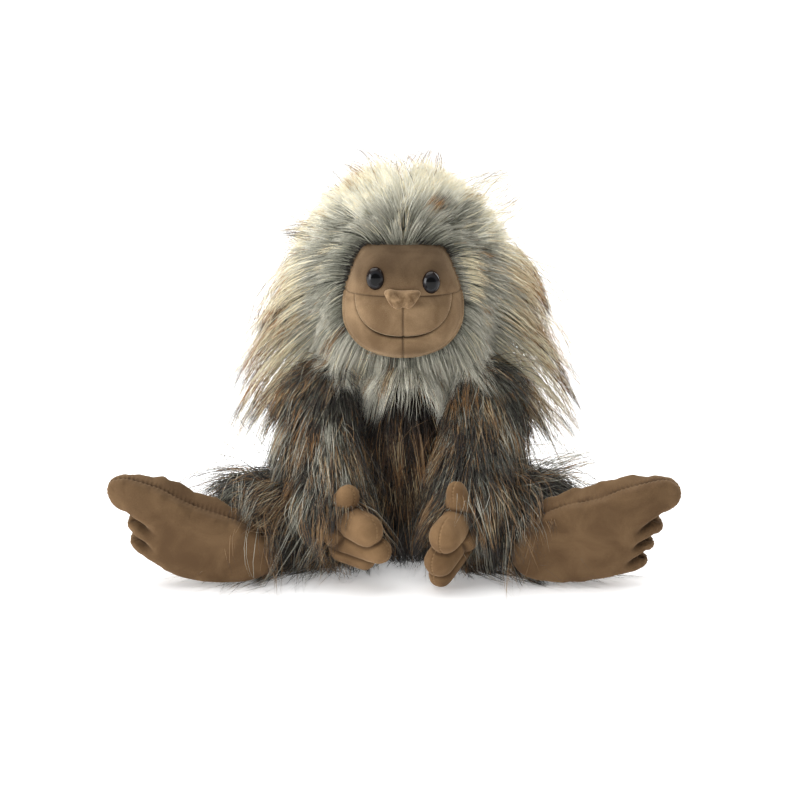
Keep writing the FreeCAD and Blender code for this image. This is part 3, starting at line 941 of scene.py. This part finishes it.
def build_foot(side, sign):
    body = f"{side}_foot"
    low, high = span(f"{body}_sole", f"{body}_upper")
    points, faces, ring = inflate(closed_curve(FOOT[side], FOOT_STEP), FOOT_STEP)
    half = (high[1] - low[1]) / 2 / MM
    upper = np.clip(-points[:, 2], 0, 1)
    points[:, 2] *= np.where(points[:, 2] > 0, half * SOLE_BULGE, half)
    points[:, 1] += (FOOT_UPPER_RISE * upper * smooth(15, 50, points[:, 1])
                     * (1 - 0.75 * smooth(66, 98, points[:, 0])))
    heel = (low[0] if sign > 0 else high[0]) / MM
    middle = (low[1] + high[1]) / 2 / MM
    turn = np.array([[sign, 0, 0], [0, 0, -1], [0, 1, 0]], float)
    shift = np.array([heel, middle - 1.5, 1.0])
    if sign < 0:
        faces = faces[:, ::-1]
    foot = make_object(f"{body}_cover", (points @ turn.T + shift) * MM, faces, [VELOUR_LIMB])
    puff_up(foot, 12, 1.2, 2.5 * MM)
    line = read_points(foot)[ring]
    subdivide(foot, 2)

    solid = read_points(foot)
    flat = (solid / MM - shift) @ turn
    gap, run = (value / MM for value in nearest_on(solid, line))
    # seam number: a dark line along the seam, partly the seam's own colour and partly painted shade
    # in its groove
    top = smooth(8, 20, flat[:, 1])
    seam = (0.5 + 0.45 * top * np.sin(2 * math.pi * run / 2.1) ** 2) * np.exp(-(gap / 0.6) ** 2)
    pinch = 1.1 * np.exp(-(gap / 1.1) ** 2)
    pinch += 0.32 * np.sin(2 * math.pi * run / 2.9) * np.exp(-(gap / 2.6) ** 2) * (gap > 0.3)
    for start, finish, depth in CREASES[side]:
        line = np.array([start, finish], float)
        away = distance_to(flat[:, :2], line)
        inward = (flat[:, :2] - line[0]) @ unit(line[1] - line[0])
        fade = 1 - smooth(0.45, 1.0, inward / np.linalg.norm(line[1] - line[0]))
        fade *= smooth(0.0, 3.0, flat[:, 2])
        pinch += depth * np.exp(-(away / (1.5 + 0.08 * np.abs(inward))) ** 2) * fade
        # painted shade in each crease between the toes
        seam = np.maximum(seam, 0.8 * np.exp(-(away / 1.1) ** 2) * fade)
    write_points(foot, solid - read_points(foot, "normal") * pinch[:, None] * MM)
    set_shade(foot, "seam", seam)
    declare_pillow(foot, body, (f"{body}_sole", f"{body}_upper", f"{body}_stuffing"))
    for x, y, z, reach in ((22, 24, -6, 18), (50, 28, -4, 22), (78, 40, -4, 19)):
        centre = (np.array([x, y, z], float) @ turn.T + shift) * MM
        Bodies.balls.append((centre, np.array([reach, 15, reach]) * MM))


# a hand's rounded lobes, mm from the wrist joint: start, its radius, finish, its radius.
# Palm, thumb, then the fingers from the thumb's side down.
HANDS = {
    "left": (((0, 2, 0), 11.5, (-3, -15, -13), 12.8), ((-4, -15, 0), 10.2, (-6.8, -21, 16), 6.8),
             ((-5, -16, -4), 10, (-14, -37, -8.5), 10.6),
             ((-5, -14, -15), 9.5, (-17.5, -33, -26), 9.8),
             ((-4, -12, -25), 7.5, (-16.5, -27, -37), 8)),
    "right": (((0, 2, 0), 11.5, (6, -12, -12), 12.8), ((6, -13, 1), 10, (11.5, -20, 12.5), 7.8),
              ((8, -14, -3), 10, (23.5, -32, -6), 10.4), ((8, -14, -17), 9, (31, -31, -20), 8.4),
              ((6, -10, -26), 7.5, (22, -21, -29), 7)),
}


LOBE_SIDES = 28


def build_hand(side):
    body = f"{side}_hand"
    wrist = pivot(f"{side}_wrist")
    lobes, points, faces = [], [], []
    for start, near, finish, far in HANDS[side]:
        start, finish = wrist + np.array(start) * MM, wrist + np.array(finish) * MM
        near, far = near * MM, far * MM
        lobes.append((start, finish, near, far))
        axis = unit(finish - start)
        rings = ball_rings(start, near, axis, -88, 0, 9) + ball_rings(finish, far, axis, 0, 88, 9)
        faces += [[corner + len(points) * LOBE_SIDES * len(rings) for corner in face]
                  for face in ring_faces(len(rings), LOBE_SIDES)]
        points.append(ring_points(rings, LOBE_SIDES))
    hand = make_object(f"{body}_cover", np.vstack(points), faces, [VELOUR_HAND])
    remesh = hand.modifiers.new("one_skin", "REMESH")
    remesh.mode = "VOXEL"
    remesh.voxel_size = 2.2 * MM
    soften = hand.modifiers.new("soften", "SMOOTH")
    soften.iterations = 2
    apply_modifiers(hand)
    hand.data.polygons.foreach_set("use_smooth", np.ones(len(hand.data.polygons), bool))
    puff_up(hand, 10, 1.2, 1.5 * MM)
    subdivide(hand, 2)

    # a seam runs over the tip of each finger, between its two panels
    points = read_points(hand)
    gaps = np.stack([rod_gap(points, *lobe)[0] for lobe in lobes])
    owner = gaps.argmin(axis=0)
    seam = np.zeros(len(points))
    for number, (start, finish, _, _) in enumerate(lobes[1:], start=1):
        axis = unit(finish - start)
        across = unit(np.cross(axis, UP))
        along = ((points - start) @ axis) / np.linalg.norm(finish - start)
        off = np.abs((points - start) @ across) / MM
        seam = np.maximum(seam, (owner == number) * smooth(0.5, 1.1, along)
                          * np.exp(-(off / 0.45) ** 2))
    first, second = np.sort(gaps, axis=0)[:2] / MM
    fold = np.exp(-((second - first) / 1.5) ** 2)
    pinch = 0.7 * seam + 1.3 * fold
    write_points(hand, points - read_points(hand, "normal") * pinch[:, None] * MM)
    # painted shade in the folds between the lobes
    set_shade(hand, "seam", 0.7 * fold)
    set_shade(hand, "stitch", 0.4 * seam * (np.sin(points[:, 2] / MM * 2.9) > -0.2))
    declare_pillow(hand, body, (f"{body}_palm", f"{body}_back", f"{body}_stuffing"))
    Bodies.rods += lobes[:1] + lobes[2:4]


# ------------------------------------------------------------------ fur on each body
def thin(count):
    return int(count * (1.0))


def varied(count, low=0.75, high=1.2):
    return rng.uniform(low, high, count)


# coats of the head
HEAD_COATS = {
    "hood_fur": Coat(44000, 1.0, 0.10, 0.40, 150, (0.05, 0.4), 28, (0.2, 0.75), 2.5, 5),
    "mane_lock": Coat(10500, 1.1, 0.15, 0.38, 46, (0.6, 0.95), 12, (0.5, 0.9), 14.0, 6),
    "beard_fur": Coat(6500, 1.0, 0.17, 0.38, 40, (0.4, 0.9), 12, (0.3, 0.9), 9.0, 6),
    "mane_wisp": Coat(3000, 1.45, 0.34, 0.28, 14, (0.4, 0.85), 4, (0.4, 0.9), 14.0, 6),
}


def head_fur(skin):
    """Hood: soft grey pile at the face, cream over the crown, a long dark-tipped mane."""
    outline = face_loop(2.0)
    for name, coat in HEAD_COATS.items():
        count = thin(coat.strands)
        roots, normals = scatter(skin, count * (12 if name == "beard_fur" else 3))
        flat = np.stack([roots[:, 0] / MM, (roots[:, 2] - SEAM_Z) / MM], axis=1)
        outside = np.where(inside(flat, outline), -1, 1) * distance_to(flat, outline, True)
        near = np.where(roots[:, 1] < SKULL_CENTRE[1] - 8 * MM, outside, 60.0)
        x, y, z = ((roots - SKULL_CENTRE) / SKULL).T
        beard = smooth(-0.3, -0.6, z) * smooth(0.1, -0.3, y) * smooth(0.95, 0.6, np.abs(x))
        keep = (near > -1.2) & (normals[:, 2] > -0.97)
        if name == "beard_fur":
            keep &= beard > 0.3
        elif name != "hood_fur":
            keep &= (near > 9 + 12 * rng.random(len(near))) & (beard < 0.5)
            keep &= rng.random(len(near)) > 0.85 * smooth(0.1, 0.7, z)
        keep = np.where(keep)[0][:count]
        roots, normals, near, beard, x, y, z = (
            value[keep] for value in (roots, normals, near, beard, x, y, z))
        total = len(roots)
        away = tangent(np.array([0, 1.0, 0.04]), normals)
        fall = tangent(DOWN, normals)
        forward = np.stack([0.75 * x, -0.3 + 0 * x, -1 + 0 * x], axis=1)
        outward = tangent(np.stack([np.tanh(x / 0.3), 0 * x, 0 * x], axis=1), normals)
        rim = 1 - smooth(3, 24 - 6 * smooth(0.2, 0.5, z), near)
        crown = smooth(0.15, 0.55, z) * (1 - rim)
        back = smooth(-0.1, 0.5, y)
        mane = (1 - crown) * (1 - back) * (1 - beard)
        low_mane = mane * smooth(0.1, -0.5, z) * smooth(8, 24, near)
        long = name in ("mane_lock", "mane_wisp")
        drape = np.stack([0.85 * np.tanh(x / 0.3), -0.15 + 0 * x, -0.6 + 0 * x], axis=1)
        comb = unit(away * (0.9 * rim + (0.3 if long else 0.5) * mane + 0.45 * crown)[:, None]
                    + fall * (0.05 * rim + (0.65 if long else 0.35) * mane + 0.9 * back
                              - 0.4 * low_mane * long)[:, None]
                    + forward * beard[:, None] + drape * (1.4 * low_mane * long)[:, None]
                    + outward * (0.18 * crown + (0.55 if long else 0.3) * mane)[:, None]
                    + rng.normal(0, coat.stray, (total, 3)))
        if long:
            length = ((50 + 34 * low_mane - 14 * crown + 8 * smooth(0.2, 0.7, x))
                      * varied(total, 0.7, 1.4))
            lift = 0.5 + 0.18 * mane + 0.1 * crown - 0.15 * back
            droop = 0.08 + 0.44 * mane - 0.1 * low_mane + 0.4 * back
            kinds = draw_kinds(total, {
                "guard": 1.5 * mane + 0.8 * back, "guard_dark": 0.8 * mane + 1.2 * back + 0.1,
                "guard_black": 0.25 * mane + 0.5 * back + 0.1, "side_amber": 1.0 * mane,
                "crown_tip": 0.8 * crown, "crown_tan": 0.8 * crown, "crown": 0.5 * crown,
                "side": 1.3 * mane})
        else:
            length = (19 + 13 * smooth(0, 22, near) + 11 * mane * smooth(12, 36, near)
                      + 10 * low_mane + 5 * back - 5 * crown) * (1 - beard) + 54 * beard
            length = length * varied(total, 0.8 - 0.4 * beard, 1.2)
            lift = 0.4 - 0.12 * rim + 0.22 * crown + 0.16 * mane - 0.1 * back - 0.02 * beard
            droop = 0.04 + 0.22 * mane + 0.2 * low_mane + 0.45 * back + 0.4 * beard
            kinds = draw_kinds(total, {
                # more dark rim strands towards the brow: painted shade under the overhanging crown
                "rim": 3.0 * rim * (1 - beard),
                "rim_dark": (2.0 + 3.5 * smooth(0.0, 0.4, z)) * rim * (1 - beard),
                "crown": 3.4 * crown, "crown_tan": 0.2 * crown,
                "side": 1.2 * mane + 0.5 * back, "side_amber": 0.25 * mane + 0.4 * back,
                "side_grey": 1.4 * mane + 0.9 * back, "beard": 3.4 * beard,
                "beard_grey": 1.2 * beard, "beard_cream": 0.6 * beard, "chest_tan": 0.25 * beard})
        lift = np.clip(lift + rng.normal(0, 0.06, total), 0.12, 0.9)
        lay_fur(name, "head", (roots, normals), comb, lift, length * coat.scale * MM, droop,
                0.04 + 0.05 * long + 0.07 * beard, kinds, coat)


NECK = np.array([0, 5, 118]) * MM       # the fur of the torso and arms flows away from here
TORSO_COATS = {
    "torso_fur": Coat(9500, 1.0, 0.15, 0.42, 90, (0.1, 0.5), 24, (0.3, 0.85), 2.5, 5),
    "torso_lock": Coat(4500, 1.35, 0.17, 0.42, 55, (0.45, 0.9), 12, (0.4, 0.9), 6.0, 6),
}


def torso_fur(skin):
    for name, coat in TORSO_COATS.items():
        roots, normals = scatter(skin, thin(coat.strands))
        keep = (roots[:, 2] > 6 * MM) & ((roots[:, 2] < 102 * MM) | (roots[:, 1] > 0))
        roots, normals = roots[keep], normals[keep]
        total = len(roots)
        height = roots[:, 2] / TORSO_HIGH[2]
        comb = unit(tangent(DOWN, normals) + 0.4 * tangent(unit(roots - NECK), normals)
                    + rng.normal(0, coat.stray, (total, 3)))
        length = (30 + 8 * smooth(0.2, 0.8, height)) * coat.scale * MM * varied(total)
        lift = np.clip(0.3 - 0.14 * smooth(0.6, 0.8, height) + rng.normal(0, 0.08, total), 0.1, 0.6)
        # low on the front: more black strands and fewer tan ones, painted shade under the head and
        # between the limbs
        low = 1 - smooth(0.15, 0.6, height)
        front = smooth(10 * MM, -20 * MM, roots[:, 1])
        if name == "torso_fur":
            kinds = draw_kinds(total, {
                "chest": 1.4 * front + 0.4, "chest_black": 0.8 + 2.0 * low * front,
                "limb": 0.7 * (1 - front), "limb_dark": 0.6})
        else:
            kinds = draw_kinds(total, {
                "chest_tan": 1.6 - 1.5 * low * front, "chest_sand": 1.3 * (1 - low),
                "chest": 0.8 * (1 - low), "chest_black": 2.4 * low * front,
                "limb_tan": 0.7 * (1 - front), "guard_black": 0.6 * (1 - front),
                "limb": 0.8 * (1 - front)})
        lay_fur(name, "torso", (roots, normals), comb, lift, length, 0.3, 0.07, kinds, coat)


LIMB_PILE = {"arm": 30 * MM, "leg": 36 * MM}     # length of the fur
# each limb: its near joint, its far joint, and the radii of its cover in mm
LIMBS = {"arm": ("shoulder", "wrist", (19, 16.5, 15.5)), "leg": ("hip", "ankle", (20.5, 20, 18))}
LIMB_COATS = {
    "fur": Coat(8000, 1.0, 0.17, 0.42, 90, (0.1, 0.5), 22, (0.3, 0.85), 2.5, 5),
    "lock": Coat(3600, 1.6, 0.2, 0.42, 50, (0.5, 0.93), 12, (0.4, 0.9), 6.0, 6),
    "wisp": Coat(800, 2.2, 0.34, 0.30, 10, (0.3, 0.8), 4, (0.4, 0.9), 6.0, 6),
}


def limb_fur(skin, side, sign, limb):
    near, far, _ = LIMBS[limb]
    start, finish = pivot(f"{side}_{near}"), pivot(f"{side}_{far}")
    axis = unit(finish - start)
    reach = np.linalg.norm(finish - start)
    for label, coat in LIMB_COATS.items():
        total = thin(coat.strands)
        roots, normals = scatter(skin, total)
        along = ((roots - start) @ axis) / reach
        outer = sign * normals[:, 0]
        from_neck = tangent(unit(roots - NECK), normals) * (1 - smooth(0.0, 0.5, along))[:, None]
        comb = 0.8 * tangent(axis, normals) + 0.45 * tangent(DOWN, normals) + 0.9 * from_neck
        comb[:, 0] += sign * 0.22 * np.clip(outer, 0, 1)
        if limb == "leg":
            comb[:, 1] -= 0.45 * np.clip(-normals[:, 1], 0, 1)
        comb = unit(comb + rng.normal(0, coat.stray, (total, 3)))
        length = LIMB_PILE[limb] * coat.scale * varied(total, 0.7)
        shoulder_top = smooth(0.4, 0.0, along) * np.clip(normals[:, 2], 0, 1)
        lift = np.clip(0.36 + 0.1 * np.clip(outer, 0, 1) - 0.2 * shoulder_top
                       + rng.normal(0, 0.09, total), 0.1, 0.8)
        # the side towards the body gets more dark strands and fewer sand and silver ones: painted
        # shade between limb and body
        inner = smooth(0.2, -0.6, outer)
        if label == "fur":
            kinds = draw_kinds(total, {
                "limb": 0.4 * (1 - 0.5 * inner), "limb_grey": 1.5,
                "limb_tan": 0.7 - 0.4 * inner, "limb_dark": 2.4 + 1.4 * inner})
        else:
            kinds = draw_kinds(total, {
                "limb_sand": 0.9 * (1 - 0.5 * inner), "limb_tan": 1.0, "limb_amber": 0.3,
                "guard_black": 0.4, "limb_silver": 0.7 * (1 - 0.6 * inner), "limb_dark": 2.0})
        lay_fur(f"{side}_{limb}_{label}", f"{side}_{limb}", (roots, normals), comb, lift, length,
                0.4, 0.19, kinds, coat)


# ------------------------------------------------------------------ stage, light and camera
LIGHT_TABLE = 0.3    # the floor glows a little from below, as a light table does


def build_stage():
    size = 30.0
    corners = [(-size, -size, 0), (size, -size, 0), (size, size, 0), (-size, size, 0)]
    paper, tree, shader = new_material("studio_paper", 0.9)
    grain = add(tree, "TexNoise", "Fac", Scale=40.0)
    white = ramp(tree, grain, (0, (0.93, 0.93, 0.93, 1)), (1, (0.95, 0.95, 0.95, 1)))
    fill(tree, shader, Base_Color=white, Emission_Color=(1, 1, 1, 1),
         Emission_Strength=LIGHT_TABLE)
    floor = make_object("floor", corners, [(0, 1, 2, 3)], [paper])


def area_light(name, place, aim, power):
    """A square window of 0.9 m that faces a point."""
    data = bpy.data.lights.new(name, "AREA")
    data.shape = "RECTANGLE"
    data.size = data.size_y = 0.9
    data.energy = power
    light = add_object(name, data)
    light.location = place
    light.rotation_euler = (Vector(aim) - Vector(place)).to_track_quat("-Z", "Y").to_euler()


ROOM_LIGHT = 0.3      # light from all round
BACKDROP = 1.05       # how bright the empty backdrop looks


def build_light():
    world = bpy.data.worlds.new("studio")
    world.use_nodes = True
    tree = world.node_tree
    room = tree.nodes["Background"]
    fill(tree, room, Strength=ROOM_LIGHT, Color=(1, 1, 1, 1))
    backdrop = add(tree, "Background", "Background", Strength=BACKDROP, Color=(1, 1, 1, 1))
    seen = add(tree, "LightPath", "Is Camera Ray")
    either = tree.nodes.new("ShaderNodeMixShader")
    for number, part in enumerate((seen, room.outputs["Background"], backdrop)):
        tree.links.new(part, either.inputs[number])
    tree.links.new(either.outputs["Shader"], tree.nodes["World Output"].inputs["Surface"])
    bpy.context.scene.world = world
    bpy.context.scene.view_settings.view_transform = "Standard"
    sky = bpy.data.lights.new("ceiling", "SUN")
    sky.energy = 3.1
    sky.angle = math.radians(70)
    ceiling = add_object("ceiling", sky)
    ceiling.rotation_euler = (math.radians(-14), math.radians(-16), 0)
    area_light("window", (-1.5, -0.75, 0.4), (0, 0, 0.14), 21)
    area_light("rim_window", (1.0, 0.75, 0.8), (0, 0, 0.18), 12)


PHOTO_SCALE = 0.64 * MM     # metres across one pixel of the 800-pixel frame, at the face
CAMERA_TILT = 14.0          # degrees above level
LENS = 85.0


def build_camera():
    data = bpy.data.cameras.new("camera")
    data.lens = LENS
    data.sensor_width = 36.0
    data.clip_end = 50.0
    camera = add_object("camera", data)
    distance = PHOTO_SCALE * 800 * LENS / data.sensor_width
    tilt = math.radians(CAMERA_TILT)
    away = Vector((0, -math.cos(tilt), math.sin(tilt)))
    aim = Vector((-0.002, -0.045, 0.1103))
    camera.location = aim + away * distance
    camera.rotation_euler = (-away).to_track_quat("-Z", "Y").to_euler()
    bpy.context.scene.camera = camera


# ------------------------------------------------------------------ inner CAD pieces kept
def dress_cad():
    for node, obj in frame["nodes"].items():
        if "washer" in node:
            material = WASHER_PLASTIC
        elif node == "pellet_bag":
            material = BAG_CLOTH
        elif "stuffing" in node:
            material = FILLING
        else:
            material = UNDERWOOL_DARK
        obj.data.materials.clear()
        obj.data.materials.append(material)


dress_cad()
build_camera()
build_stage()
build_light()
skins = build_skins()
build_face()
build_nose()
build_eyes()
for side, sign in SIDES:
    build_foot(side, sign)
    build_hand(side)
head_fur(skins["head"])
torso_fur(skins["torso"])
for side, sign in SIDES:
    for limb in LIMBS:
        limb_fur(skins[f"{side}_{limb}"], side, sign, limb)
